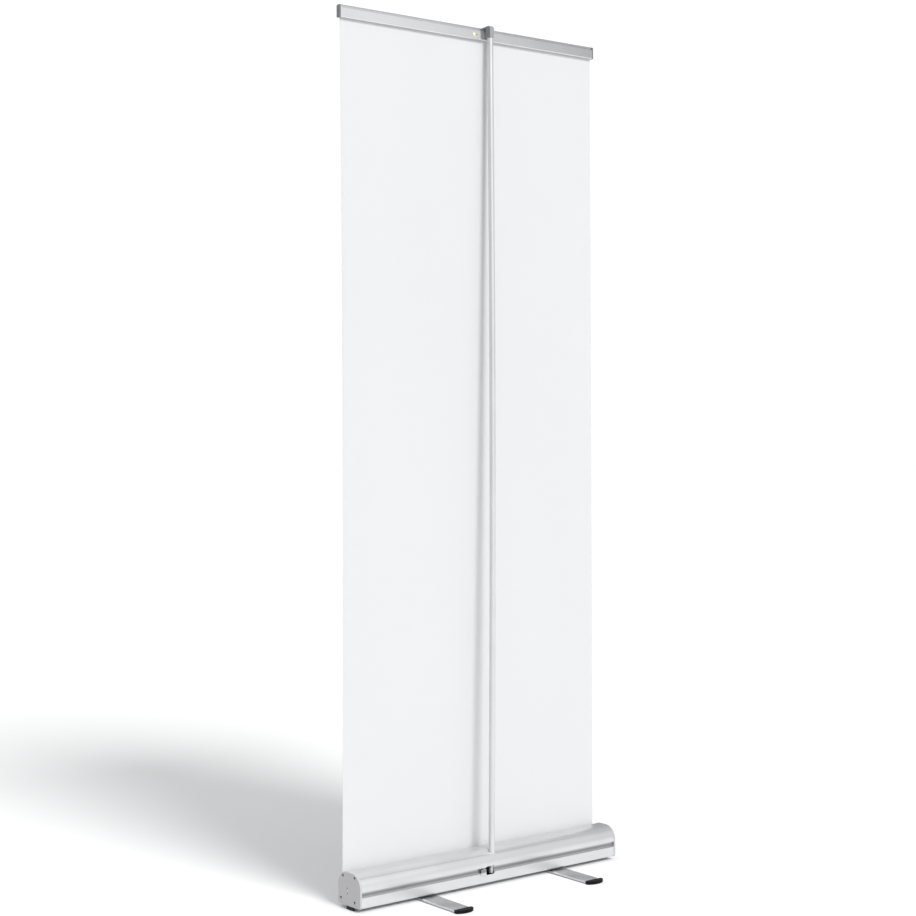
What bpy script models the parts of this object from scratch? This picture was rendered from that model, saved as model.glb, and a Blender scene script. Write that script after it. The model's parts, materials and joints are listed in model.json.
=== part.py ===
"""Roll-up banner stand, 800 x 2000 mm format.

Frame: +Z up, origin on the floor under the middle of the base. The graphic faces -Y,
the support pole stands on the +Y side, and the base, rail and banner run along X.
"""
from math import cos, pi, radians, sin, sqrt

import bmesh
import bpy
from mathutils import Vector

MM = 0.001
GAP = 0.3 * MM                       # clearance between neighbouring solids

# Base housing: a rounded cassette, its outer shape shared by the two end plates
PLATE_HALF_DEPTH = 45.5 * MM
PLATE_BOTTOM = 9.0 * MM
DOME_START = 55.0 * MM               # height where the straight walls turn into the dome
DOME_RISE = 32.0 * MM
DOME_FRONT_RADIUS = 35.5 * MM
DOME_REAR_RADIUS = 33.5 * MM
BOTTOM_RADIUS = 5.0 * MM
PLATE_PROUD = 0.5 * MM               # how far the plates stand out past the housing
PLATE_THICKNESS = 4.6 * MM
HOUSING_HALF_LENGTH = 400.5 * MM
PAD_HALF_WIDTH = 2.9 * MM
PAD_FRONT, PAD_REAR = -12.0 * MM, 25.0 * MM
WALL = 1.8 * MM
GROOVE_TOP = 48.5 * MM
GROOVE_BOTTOM = 35.5 * MM
GROOVE_DEPTH = 4.5 * MM
SLOT_HALF_WIDTH = 2.0 * MM
ARC_STEPS = 10

# Graphic
BANNER_Y = -36.5 * MM
BANNER_HALF_WIDTH = 399.5 * MM
FILM = 0.45 * MM
SLOT_Z = 74.5 * MM                   # where the graphic leaves the base

# Roller inside the base
ROLLER_Y = -8.3 * MM
ROLLER_Z = 43.3 * MM
ROLLER_RADIUS = 17.0 * MM
ROLLER_WALL = 1.5 * MM
ROLLER_HALF_LENGTH = 396.5 * MM
WOUND_RADIUS = 20.3 * MM
AXLE_RADIUS = 3.0 * MM

# Top rail
RAIL_BOTTOM = 2101.0 * MM
RAIL_TOP = 2131.0 * MM
RAIL_FRONT = BANNER_Y - 4.5 * MM
RAIL_REAR = BANNER_Y + 8.5 * MM
RAIL_HALF_LENGTH = 401.0 * MM
RAIL_CAP = 3.0 * MM
JAW_SHOULDER_Z = 2127.5 * MM
JAW_HINGE_Z = 2129.6 * MM
BUTTON_X, BUTTON_Z = -5.0 * MM, 2112.8 * MM
BUTTON_RADIUS = 5.8 * MM

# Support pole, which leans towards the rail and a little to one side
POLE_FOOT = Vector((0.0, 31.0, 20.0)) * MM
POLE_HEAD = Vector((-44.0, -16.5, 2107.0)) * MM
POLE_RADIUS = 7.5 * MM
POLE_WALL = 1.0 * MM
FERRULE_RADIUS = POLE_RADIUS - POLE_WALL - GAP
FERRULE_LENGTH = 90.0 * MM
POLE_CLEARANCE = 0.8 * MM             # round the pole where it enters the housing
SOCKET_TOP = 30.0 * MM
SOCKET_HALF_WIDTH = 11.0 * MM
SOCKET_FRONT, SOCKET_REAR = 21.0 * MM, 42.0 * MM
HEAD_PLUG = 38.0 * MM                # how far the head reaches down inside the pole
WINDOW_LOW = Vector((1.5, 30.0, 29.5)) * MM          # opening in the housing's rear wall by the pole
WINDOW_HIGH = Vector((28.0, 60.0, 50.5)) * MM
WINDOW_CORNER = 4.0 * MM
GUIDE_LOW_Z, GUIDE_HIGH_Z = 29.0 * MM, 45.0 * MM
GUIDE_LEFT_X, GUIDE_RIGHT_X = 28.5 * MM, 45.0 * MM
RIVET_Z = 32.6 * MM

# Swivel feet
FOOT_X = 206.0 * MM
FOOT_HALF_LENGTH = 192.0 * MM
FOOT_CAP_START = 177.0 * MM
FOOT_WIDTH = 48.0 * MM
FOOT_BOTTOM = 1.8 * MM
FOOT_THICKNESS = 4.5 * MM
FOOT_CAP_HEIGHT = 8.2 * MM
PIVOT_RADIUS = 4.0 * MM

HOUSING_BOTTOM = PLATE_BOTTOM + PLATE_PROUD
PLATE_INNER_X = HOUSING_HALF_LENGTH + GAP
PLATE_OUTER_X = PLATE_INNER_X + PLATE_THICKNESS
POLE_VECTOR = POLE_HEAD - POLE_FOOT
POLE_LENGTH = POLE_VECTOR.length
SECTION_LENGTH = (POLE_LENGTH - 2 * GAP) / 3

SIDES = {"right": 1, "left": -1}     # as seen from the front of the graphic


def clear_scene():
    for item in list(bpy.data.objects):
        bpy.data.objects.remove(item, do_unlink=True)


def new_collection(name):
    collection = bpy.data.collections.new(name)
    bpy.context.scene.collection.children.link(collection)
    return collection


def new_material(name, colour, roughness, metallic):
    result = bpy.data.materials.new(name)
    result.use_nodes = True
    shader = result.node_tree.nodes["Principled BSDF"]
    shader.inputs["Base Color"].default_value = (*colour, 1.0)
    shader.inputs["Roughness"].default_value = roughness
    shader.inputs["Metallic"].default_value = metallic
    return result


clear_scene()
STAND = new_collection("roll_up_banner_stand")
CUTTERS = new_collection("cutters")

ALUMINIUM = new_material("anodised_aluminium", (0.78, 0.79, 0.80), 0.32, 1.0)
PLATE_GREY = new_material("grey_end_plate", (0.36, 0.36, 0.38), 0.5, 0.0)
GRAPHIC = new_material("white_film", (0.88, 0.88, 0.90), 0.55, 0.0)
BLACK = new_material("black_plastic", (0.02, 0.02, 0.02), 0.45, 0.0)
RUBBER = new_material("black_rubber", (0.02, 0.02, 0.02), 0.8, 0.0)
DARK_GREY = new_material("dark_grey_plastic", (0.18, 0.18, 0.19), 0.5, 0.0)
STEEL = new_material("bright_steel", (0.62, 0.62, 0.64), 0.3, 1.0)
BRASS = new_material("brass", (0.78, 0.63, 0.33), 0.3, 1.0)
NYLON = new_material("white_nylon", (0.82, 0.82, 0.80), 0.5, 0.0)
ELASTIC = new_material("grey_elastic", (0.25, 0.25, 0.26), 0.8, 0.0)


def add_object(name, data, colour, collection=STAND):
    result = bpy.data.objects.new(name, data)
    collection.objects.link(result)
    if colour:
        result.data.materials.append(colour)
    return result


def mesh_object(name, work, colour, collection=STAND, smooth_angle=None):
    mesh = bpy.data.meshes.new(name)
    work.to_mesh(mesh)
    work.free()
    if smooth_angle:
        mesh.shade_smooth()
        mesh.set_sharp_from_angle(angle=radians(smooth_angle))
    return add_object(name, mesh, colour, collection)


def hide_cutter(cutter):
    cutter.hide_render = True
    cutter.display_type = "WIRE"
    return cutter


def box(name, low, high, colour, bevel=0.0, collection=STAND, origin=(0, 0, 0)):
    """A box between two corners given in world coordinates."""
    origin = Vector(origin)
    low, high = Vector(low) - origin, Vector(high) - origin
    work = bmesh.new()
    bmesh.ops.create_cube(work, size=1.0)
    bmesh.ops.scale(work, vec=high - low, verts=work.verts)
    bmesh.ops.translate(work, vec=(low + high) / 2, verts=work.verts)
    result = mesh_object(name, work, colour, collection)
    result.location = origin
    if bevel:
        rounding = result.modifiers.new("rounding", "BEVEL")
        rounding.width = bevel
        rounding.segments = 2
    return result


def axis_rotation(direction):
    return Vector(direction).to_track_quat("Z", "Y").to_euler()


def rod(name, start, end, radius, colour, sides=24, collection=STAND):
    """A solid cylinder between two points."""
    start, end = Vector(start), Vector(end)
    work = bmesh.new()
    bmesh.ops.create_cone(work, cap_ends=True, segments=sides, radius1=radius,
                          radius2=radius, depth=(end - start).length)
    result = mesh_object(name, work, colour, collection, smooth_angle=40)
    result.location = (start + end) / 2
    result.rotation_euler = axis_rotation(end - start)
    return result


def turned(name, profile, origin, direction, colour, closed, sides=24):
    """A profile of (radius, height) points turned about an axis through origin."""
    work = bmesh.new()
    verts = [work.verts.new((radius, 0.0, height)) for radius, height in profile]
    for first, second in zip(verts, verts[1:] + verts[:1] if closed else verts[1:]):
        work.edges.new((first, second))
    result = mesh_object(name, work, colour)
    screw = result.modifiers.new("turning", "SCREW")
    screw.steps = screw.render_steps = sides
    screw.use_merge_vertices = True
    screw.merge_threshold = 0.00001
    screw.use_smooth_shade = False
    result.location = origin
    result.rotation_euler = axis_rotation(direction)
    return result


def tube(name, start, end, outer, inner, colour, sides=24):
    """A hollow cylinder between two points, open at both ends."""
    start, end = Vector(start), Vector(end)
    length = (end - start).length
    profile = [(outer, length), (outer, 0.0), (inner, 0.0), (inner, length)]
    return turned(name, profile, start, end - start, colour, closed=True, sides=sides)


def headed_pin(name, start, end, radius, head_radius, head_height, colour, sides=16):
    """A pin from start to end, with a round head just past start."""
    start, end = Vector(start), Vector(end)
    length = (end - start).length
    profile = [(0.0, 0.0), (head_radius * 0.8, 0.0), (head_radius, -head_height * 0.4),
               (head_radius, -head_height), (radius, -head_height),
               (radius, -head_height - length), (0.0, -head_height - length)]
    head_top = start - (end - start).normalized() * head_height
    return turned(name, profile, head_top, start - end, colour, closed=False, sides=sides)


def outline_solid(name, points, thickness, colour, collection=STAND):
    """A flat outline in local XY, thickened along local Z, as a mesh with welded caps."""
    curve = bpy.data.curves.new(name, "CURVE")
    curve.dimensions = "2D"
    curve.fill_mode = "BOTH"
    curve.extrude = thickness / 2
    spline = curve.splines.new("POLY")
    spline.points.add(len(points) - 1)
    for point, (x, y) in zip(spline.points, points):
        point.co = (x, y, 0.0, 1.0)
    spline.use_cyclic_u = True
    flat = add_object(name + "_outline", curve, None, collection)
    bpy.context.view_layer.update()
    depsgraph = bpy.context.evaluated_depsgraph_get()
    mesh = bpy.data.meshes.new_from_object(flat.evaluated_get(depsgraph))
    work = bmesh.new()
    work.from_mesh(mesh)
    bmesh.ops.remove_doubles(work, verts=work.verts, dist=0.00001)
    bmesh.ops.recalc_face_normals(work, faces=work.faces)
    bpy.data.objects.remove(flat, do_unlink=True)
    bpy.data.meshes.remove(mesh)
    return mesh_object(name, work, colour, collection)


def stand_on_x(item, x):
    """Turns a flat outline so that its X is world Y and its Y is world Z, centred at x."""
    item.rotation_euler = (pi / 2, 0.0, pi / 2)
    item.location.x = x


def cut(item, cutter, operation="DIFFERENCE"):
    step = item.modifiers.new(operation.lower(), "BOOLEAN")
    step.operation = operation
    step.solver = "EXACT"
    step.object = hide_cutter(cutter)
    return item


def hole(item, name, start, end, radius, sides=24):
    return cut(item, rod(name, start, end, radius, None, sides, CUTTERS))


def pivot(name, location):
    empty = bpy.data.objects.new(name, None)
    STAND.objects.link(empty)
    empty.location = location
    return empty


def hang_on(parent, *children):
    bpy.context.view_layer.update()
    for child in children:
        child.parent = parent
        child.matrix_parent_inverse = parent.matrix_world.inverted()


def arc(centre, radii, start, end, steps=ARC_STEPS):
    """Points on an ellipse arc, angles in degrees."""
    turns = [radians(start + (end - start) * step / steps) for step in range(steps + 1)]
    return [(centre[0] + radii[0] * cos(turn), centre[1] + radii[1] * sin(turn)) for turn in turns]


def dome_height(y, inset):
    """Height of the front of the dome above depth y, for an outline pulled in by inset."""
    centre = -PLATE_HALF_DEPTH + DOME_FRONT_RADIUS
    across = (centre - y) / (DOME_FRONT_RADIUS - inset)
    return DOME_START + (DOME_RISE - inset) * sqrt(1.0 - across * across)


def shell_outline(inset):
    """The base's outline in (Y, Z), from the rear of the dome round the bottom to its front."""
    depth = PLATE_HALF_DEPTH - inset
    bottom = PLATE_BOTTOM + inset
    rise = DOME_RISE - inset
    rear = arc((PLATE_HALF_DEPTH - DOME_REAR_RADIUS, DOME_START), (DOME_REAR_RADIUS - inset, rise), 90, 0)
    lower_rear = arc((depth - BOTTOM_RADIUS, bottom + BOTTOM_RADIUS), (BOTTOM_RADIUS,) * 2, 0, -90, 4)
    lower_front = arc((BOTTOM_RADIUS - depth, bottom + BOTTOM_RADIUS), (BOTTOM_RADIUS,) * 2, -90, -180, 4)
    front = arc((DOME_FRONT_RADIUS - PLATE_HALF_DEPTH, DOME_START),
                (DOME_FRONT_RADIUS - inset, rise), 180, 90)
    return rear, lower_rear, lower_front, front


def housing_path():
    """The housing wall as one open line, from the slot's rear lip round to its front lip."""
    rear, lower_rear, lower_front, front = shell_outline(PLATE_PROUD)
    depth = PLATE_HALF_DEPTH - PLATE_PROUD
    rear_lip = (BANNER_Y + SLOT_HALF_WIDTH, dome_height(BANNER_Y + SLOT_HALF_WIDTH, PLATE_PROUD))
    front_lip = (BANNER_Y - SLOT_HALF_WIDTH, dome_height(BANNER_Y - SLOT_HALF_WIDTH, PLATE_PROUD))
    before_slot = [point for point in front if point[0] > rear_lip[0] + MM]
    after_slot = [point for point in front if point[0] < front_lip[0] - MM]
    slope = 0.8 * MM
    groove = [(depth, GROOVE_TOP), (depth - GROOVE_DEPTH, GROOVE_TOP - slope),
              (depth - GROOVE_DEPTH, GROOVE_BOTTOM + slope), (depth, GROOVE_BOTTOM)]
    return [rear_lip] + before_slot + rear + groove + lower_rear + lower_front + after_slot + [front_lip]


def plate_outline():
    rear, lower_rear, lower_front, front = shell_outline(0.0)
    return rear + lower_rear + lower_front + front


SCREW_PORTS = {"upper_rear": (22.0 * MM, 79.0 * MM), "lower_rear": (22.0 * MM, 21.5 * MM),
               "lower_front": (-34.8 * MM, 23.2 * MM), "upper_front": (-26.0 * MM, 76.5 * MM)}
PORT_RADIUS = 3.6 * MM
PORT_WEB = 1.6 * MM


def port_web(name, y, z):
    """The corners of the rib that joins a screw port to the nearest wall."""
    half = PORT_WEB / 2
    inner_floor = HOUSING_BOTTOM + WALL / 2
    inner_front = PLATE_PROUD + WALL / 2 - PLATE_HALF_DEPTH
    if name == "lower_rear":
        return (y - half, inner_floor), (y + half, z)
    if name == "lower_front":
        return (inner_front, z - half), (y, z + half)
    return (y - half, z), (y + half, z + PORT_RADIUS + WALL)


def make_housing():
    work = bmesh.new()
    path = housing_path()
    left = [work.verts.new((-HOUSING_HALF_LENGTH, y, z)) for y, z in path]
    right = [work.verts.new((HOUSING_HALF_LENGTH, y, z)) for y, z in path]
    for index in range(len(path) - 1):
        work.faces.new((left[index], right[index], right[index + 1], left[index + 1]))
    housing = mesh_object("base_housing", work, ALUMINIUM, smooth_angle=25)
    wall = housing.modifiers.new("wall", "SOLIDIFY")
    wall.thickness = WALL
    wall.offset = -1.0
    wall.use_even_offset = True

    end = HOUSING_HALF_LENGTH - 0.01 * MM
    for name, (y, z) in SCREW_PORTS.items():
        port = rod("port_" + name, (-end, y, z), (end, y, z), PORT_RADIUS, None, 12, CUTTERS)
        cut(housing, port, "UNION")
        low, high = port_web(name, y, z)
        web = box("port_web_" + name, (-end, *low), (end, *high), None, collection=CUTTERS)
        cut(housing, web, "UNION")
    depth_of_thread = 22 * MM
    for side, sign in SIDES.items():
        for name, (y, z) in SCREW_PORTS.items():
            start = (sign * (end + MM), y, z)
            stop = (sign * (end - depth_of_thread), y, z)
            hole(housing, f"thread_{name}_{side}", start, stop, 1.9 * MM, 12)
        x = sign * FOOT_X
        hole(housing, "pivot_hole_" + side, (x, 0, 0), (x, 0, 16 * MM), PIVOT_RADIUS + GAP)

    room = SOCKET_HALF_WIDTH + MM
    socket_room = box("socket_room", (-room, SOCKET_FRONT - 5 * MM, HOUSING_BOTTOM + WALL),
                      (room, SOCKET_FRONT + 9 * MM, SOCKET_TOP), None, collection=CUTTERS)
    cut(housing, socket_room)
    up = POLE_VECTOR.normalized()
    hole(housing, "pole_hole", POLE_FOOT + up * SOCKET_TOP, POLE_FOOT + up * 3 * SOCKET_TOP,
         POLE_RADIUS + POLE_CLEARANCE, 32)
    window = box("window", WINDOW_LOW, WINDOW_HIGH, None, collection=CUTTERS)
    rounding = window.modifiers.new("rounding", "BEVEL")
    rounding.width = WINDOW_CORNER
    rounding.segments = 3
    cut(housing, window)


def make_end_plates():
    for side, sign in SIDES.items():
        plate = outline_solid("end_plate_" + side, plate_outline(), PLATE_THICKNESS, PLATE_GREY)
        middle = sign * (PLATE_INNER_X + PLATE_THICKNESS / 2)
        stand_on_x(plate, middle)
        rounding = plate.modifiers.new("rounding", "BEVEL")
        rounding.width = 0.8 * MM
        rounding.segments = 2
        rounding.limit_method = "ANGLE"
        rounding.angle_limit = radians(60)
        through = [sign * (PLATE_INNER_X - MM), sign * (PLATE_OUTER_X + MM)]
        bores = {"axle": (ROLLER_Y, ROLLER_Z, AXLE_RADIUS + GAP),
                 "lock": (ROLLER_Y, ROLLER_Z + 6 * MM, 1.9 * MM),
                 "key": (ROLLER_Y, ROLLER_Z - 6 * MM, 1.9 * MM)}
        for name, (y, z) in SCREW_PORTS.items():
            bores["screw_" + name] = (y, z, 1.9 * MM)
        for name, (y, z, radius) in bores.items():
            hole(plate, f"{name}_bore_{side}", (through[0], y, z), (through[1], y, z), radius, 16)
        for name, (y, z) in SCREW_PORTS.items():
            hole(plate, f"recess_{name}_{side}", (sign * (PLATE_OUTER_X - 1.4 * MM), y, z),
                 (through[1], y, z), 3.3 * MM, 16)
            head = Vector((sign * (PLATE_OUTER_X - 1.4 * MM + GAP), y, z))
            tip = head - Vector((sign * 20 * MM, 0, 0))
            headed_pin(f"end_screw_{name}_{side}", head, tip, 1.5 * MM, 2.9 * MM, 1.2 * MM, STEEL, 12)
        pad_x = sign * (PLATE_OUTER_X - PAD_HALF_WIDTH)
        box("pad_" + side, (pad_x - PAD_HALF_WIDTH, PAD_FRONT, 0),
            (pad_x + PAD_HALF_WIDTH, PAD_REAR, PLATE_BOTTOM - GAP), RUBBER, bevel=0.6 * MM)


def make_roller():
    axis = Vector((0, ROLLER_Y, ROLLER_Z))

    def along(x):
        return axis + Vector((x, 0, 0))

    tube("roller_tube", along(-ROLLER_HALF_LENGTH), along(ROLLER_HALF_LENGTH), ROLLER_RADIUS,
         ROLLER_RADIUS - ROLLER_WALL, ALUMINIUM, 32)
    tube("wound_film", along(-BANNER_HALF_WIDTH), along(BANNER_HALF_WIDTH), WOUND_RADIUS,
         ROLLER_RADIUS + GAP, GRAPHIC, 32)
    plug_radius = ROLLER_RADIUS - ROLLER_WALL - GAP
    plug_bore = AXLE_RADIUS + GAP
    plug_length, flange = 16 * MM, 2.4 * MM
    for side, sign in SIDES.items():
        profile = [(ROLLER_RADIUS - MM, flange + GAP), (ROLLER_RADIUS - MM, GAP), (plug_radius, GAP),
                   (plug_radius, -plug_length), (plug_bore, -plug_length), (plug_bore, flange + GAP)]
        turned("roller_plug_" + side, profile, along(sign * ROLLER_HALF_LENGTH), (sign, 0, 0), NYLON,
               closed=True)
    inner_end = 262 * MM
    rod("spring_axle", along(inner_end), along(PLATE_OUTER_X - 0.4 * MM), AXLE_RADIUS, STEEL, 16)
    rod("idler_axle", along(-372 * MM), along(-PLATE_OUTER_X + 0.4 * MM), AXLE_RADIUS, STEEL, 16)
    make_spring(along, inner_end + 8 * MM, ROLLER_HALF_LENGTH - plug_length - 3 * MM)
    pin = Vector((0, 0, 6 * MM))
    rod("lock_pin", along(PLATE_OUTER_X - MM) + pin, along(PLATE_OUTER_X - 4.5 * MM) + pin, 1.5 * MM,
        BLACK, 12)


def make_spring(along, start, end):
    """The winding spring, a coil round the fixed axle inside the roller tube."""
    turns, points_per_turn, coil_radius, wire = 12, 10, 8 * MM, 1.0 * MM
    curve = bpy.data.curves.new("winding_spring", "CURVE")
    curve.dimensions = "3D"
    curve.bevel_depth = wire
    curve.bevel_resolution = 2
    curve.use_fill_caps = True
    spline = curve.splines.new("POLY")
    count = turns * points_per_turn + 1
    spline.points.add(count - 1)
    for index, point in enumerate(spline.points):
        turn = 2 * pi * index / points_per_turn
        place = along(start + (end - start) * index / (count - 1))
        offset = Vector((0, cos(turn), sin(turn))) * coil_radius
        point.co = (*(place + offset), 1.0)
    add_object("winding_spring", curve, STEEL)


def make_banner():
    box("banner", (-BANNER_HALF_WIDTH, BANNER_Y - FILM / 2, SLOT_Z),
        (BANNER_HALF_WIDTH, BANNER_Y + FILM / 2, RAIL_TOP - 6 * MM), GRAPHIC,
        origin=(0, BANNER_Y, SLOT_Z))
    tangent = (ROLLER_Y - WOUND_RADIUS - GAP - FILM, ROLLER_Z + 2 * MM)
    route = [tangent, (BANNER_Y, 62 * MM), (BANNER_Y, SLOT_Z - GAP)]
    near = [(y + FILM / 2, z) for y, z in route]
    far = [(y - FILM / 2, z) for y, z in reversed(route)]
    leader = outline_solid("banner_leader", near + far, 2 * BANNER_HALF_WIDTH, GRAPHIC)
    stand_on_x(leader, 0.0)
    box("slot_wiper", (-BANNER_HALF_WIDTH, BANNER_Y + FILM, 67 * MM),
        (BANNER_HALF_WIDTH, BANNER_Y + 3.4 * MM, 72 * MM), RUBBER)


def make_rail():
    front = BANNER_Y + FILM / 2 + GAP
    lip, recess, step = 1.0 * MM, 2.2 * MM, 2119.0 * MM
    wall, grip = 1.5 * MM, 4.0 * MM
    hollow = RAIL_REAR - recess - wall
    back = [(front, RAIL_BOTTOM + MM), (front + MM, RAIL_BOTTOM), (RAIL_REAR - MM, RAIL_BOTTOM),
            (RAIL_REAR, RAIL_BOTTOM + MM), (RAIL_REAR, 2109.4 * MM), (RAIL_REAR - 0.6 * MM, 2110.0 * MM),
            (RAIL_REAR, 2110.6 * MM), (RAIL_REAR, step), (RAIL_REAR - recess, step + 0.6 * MM),
            (RAIL_REAR - recess, RAIL_TOP - lip - 0.8 * MM), (RAIL_REAR - 0.4 * MM, RAIL_TOP - lip),
            (RAIL_REAR - 0.4 * MM, RAIL_TOP), (front, RAIL_TOP), (front, RAIL_TOP - grip),
            (hollow, RAIL_TOP - grip), (hollow, RAIL_BOTTOM + grip), (front, RAIL_BOTTOM + grip)]
    rail = outline_solid("rail_back", back, 2 * RAIL_HALF_LENGTH, ALUMINIUM)
    stand_on_x(rail, 0.0)

    rear = BANNER_Y - FILM / 2 - GAP
    radius = rear - RAIL_FRONT
    jaw = [(rear, RAIL_BOTTOM), (rear - MM, RAIL_BOTTOM), (RAIL_FRONT, RAIL_BOTTOM + 3 * MM)]
    jaw += arc((rear, JAW_SHOULDER_Z), (radius, RAIL_TOP - GAP - JAW_SHOULDER_Z), 180, 90, 5)
    jaw += [(rear, JAW_SHOULDER_Z - grip), (RAIL_FRONT + wall, JAW_SHOULDER_Z - grip),
            (RAIL_FRONT + wall, RAIL_BOTTOM + 2 * grip), (rear, RAIL_BOTTOM + 2 * grip)]
    clamp = outline_solid("rail_front_jaw", jaw, 2 * RAIL_HALF_LENGTH, ALUMINIUM)
    stand_on_x(clamp, 0.0)
    hinge = pivot("rail_jaw_hinge", (0, rear - 1.2 * MM, JAW_HINGE_Z))
    hang_on(hinge, clamp)

    for side, sign in SIDES.items():
        start = RAIL_HALF_LENGTH + GAP
        ends = sorted((sign * start, sign * (start + RAIL_CAP)))
        box("rail_cap_" + side, (ends[0], RAIL_FRONT - 0.3 * MM, RAIL_BOTTOM - 0.3 * MM),
            (ends[1], RAIL_REAR + 0.3 * MM, RAIL_TOP + 0.1 * MM), DARK_GREY, bevel=0.7 * MM)
    crown, edge = 1.6 * MM, 0.8 * MM
    profile = [(0.0, crown), (0.45 * BUTTON_RADIUS, crown), (0.8 * BUTTON_RADIUS, edge + 0.1 * MM),
               (BUTTON_RADIUS, edge), (BUTTON_RADIUS, 0.0), (0.0, 0.0)]
    place = Vector((BUTTON_X, RAIL_REAR + GAP, BUTTON_Z))
    turned("rail_button", profile, place, (0, 1, 0), BRASS, closed=False, sides=20)


def make_pole():
    up = POLE_VECTOR.normalized()

    def at(length):
        return POLE_FOOT + up * length

    inner = POLE_RADIUS - POLE_WALL
    starts = {}
    for index, name in enumerate(("pole_lower", "pole_middle", "pole_upper")):
        starts[name] = index * (SECTION_LENGTH + GAP)
        tube(name, at(starts[name]), at(starts[name] + SECTION_LENGTH), POLE_RADIUS, inner, ALUMINIUM)
    for index, name in enumerate(("pole_middle", "pole_upper")):
        middle = starts[name]
        tube(f"pole_ferrule_{index + 1}", at(middle - FERRULE_LENGTH / 2), at(middle + FERRULE_LENGTH / 2),
             FERRULE_RADIUS, FERRULE_RADIUS - MM, STEEL, 20)
    plug = 24 * MM
    profile = [(0.0, plug), (inner - GAP, plug), (inner - GAP, -GAP), (POLE_RADIUS, -GAP),
               (POLE_RADIUS, -2.5 * MM), (POLE_RADIUS - 1.5 * MM, -4 * MM), (0.0, -4 * MM)]
    turned("pole_foot_plug", profile, at(0), up, BLACK, closed=False)
    rod("bungee_cord", at(plug + GAP), at(POLE_LENGTH - HEAD_PLUG), 2.2 * MM, ELASTIC, 10)
    make_hook(at)


def make_hook(at):
    """The head that plugs into the pole, with an arm that reaches over the top rail."""
    inner = POLE_RADIUS - POLE_WALL
    half = 6.4 * MM
    head = POLE_HEAD
    rear = head.y + POLE_RADIUS + 0.3 * MM
    front = RAIL_REAR + 0.7 * MM
    underside = RAIL_TOP + 0.4 * MM
    top = RAIL_TOP + 6.0 * MM
    hook = rod("pole_hook", at(POLE_LENGTH - HEAD_PLUG + GAP), at(POLE_LENGTH + 3 * MM), inner - GAP,
               DARK_GREY, 20)
    body = box("hook_body", (head.x - half, front, head.z + 0.6 * MM), (head.x + half, rear, top), None,
               bevel=1.6 * MM, collection=CUTTERS)
    left, right = head.x - half + MM, head.x + half - MM
    tip = RAIL_FRONT - 3.6 * MM
    arm = box("hook_arm", (left, tip, underside), (right, front + 3 * MM, top - 0.6 * MM), None,
              bevel=0.8 * MM, collection=CUTTERS)
    lip = box("hook_lip", (left, tip, RAIL_TOP - 2.0 * MM), (right, RAIL_FRONT - 1.4 * MM, top - 1.6 * MM),
              None, bevel=0.5 * MM, collection=CUTTERS)
    for piece in (body, arm, lip):
        cut(hook, piece, "UNION")


def make_pole_seat():
    up = POLE_VECTOR.normalized()
    socket = box("pole_socket", (-SOCKET_HALF_WIDTH, SOCKET_FRONT, HOUSING_BOTTOM + WALL + GAP),
                 (SOCKET_HALF_WIDTH, SOCKET_REAR, SOCKET_TOP), BLACK, bevel=1.0 * MM)
    hole(socket, "socket_bore", POLE_FOOT - up * 5 * MM, POLE_FOOT + up * 20 * MM, POLE_RADIUS + 0.4 * MM)
    rear = PLATE_HALF_DEPTH - PLATE_PROUD + GAP
    thickness = 1.5 * MM
    plate = box("pole_guide_plate", (GUIDE_LEFT_X, rear, GUIDE_LOW_Z),
                (GUIDE_RIGHT_X, rear + thickness, GUIDE_HIGH_Z), ALUMINIUM, bevel=0.5 * MM)
    rivet = Vector(((GUIDE_LEFT_X + GUIDE_RIGHT_X) / 2, rear, RIVET_Z))
    out = Vector((0, MM, 0))
    hole(plate, "guide_bore", rivet - out, rivet + 3 * out, 1.5 * MM, 16)
    hole(bpy.data.objects["base_housing"], "guide_rivet_hole", rivet - 6 * out, rivet + 3 * out, 1.5 * MM, 16)
    headed_pin("guide_rivet", rivet + Vector((0, thickness + GAP, 0)), rivet - 3 * out,
               1.2 * MM, 2.4 * MM, 0.8 * MM, STEEL, 12)


def make_feet():
    for side, sign in SIDES.items():
        x = sign * FOOT_X
        turn = pivot("foot_pivot_" + side, (x, 0, 0))
        bar_end = FOOT_CAP_START + 8 * MM
        bar = box("foot_bar_" + side, (x - FOOT_WIDTH / 2, -bar_end, FOOT_BOTTOM),
                  (x + FOOT_WIDTH / 2, bar_end, FOOT_BOTTOM + FOOT_THICKNESS), ALUMINIUM, bevel=0.6 * MM,
                  origin=(x, 0, FOOT_BOTTOM))
        hole(bar, "bar_bore_" + side, (x, 0, 0), (x, 0, 12 * MM), PIVOT_RADIUS + GAP)
        caps = [make_foot_cap(side, x, end, facing) for end, facing in (("rear", 1), ("front", -1))]
        hang_on(turn, bar, *caps)

        bar_top = FOOT_BOTTOM + FOOT_THICKNESS
        tube("foot_washer_" + side, (x, 0, bar_top + GAP), (x, 0, HOUSING_BOTTOM - GAP), 11 * MM,
             PIVOT_RADIUS + GAP, NYLON)
        floor_top = HOUSING_BOTTOM + WALL
        nut_top = floor_top + 6 * MM
        headed_pin("foot_bolt_" + side, (x, 0, FOOT_BOTTOM - GAP), (x, 0, nut_top + MM), PIVOT_RADIUS,
                   7.5 * MM, 1.0 * MM, STEEL, 20)
        nut = rod("foot_nut_" + side, (x, 0, floor_top + GAP), (x, 0, nut_top), 7.0 * MM, STEEL, 6)
        hole(nut, "nut_bore_" + side, (x, 0, 0), (x, 0, 2 * nut_top), PIVOT_RADIUS + GAP)


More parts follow.
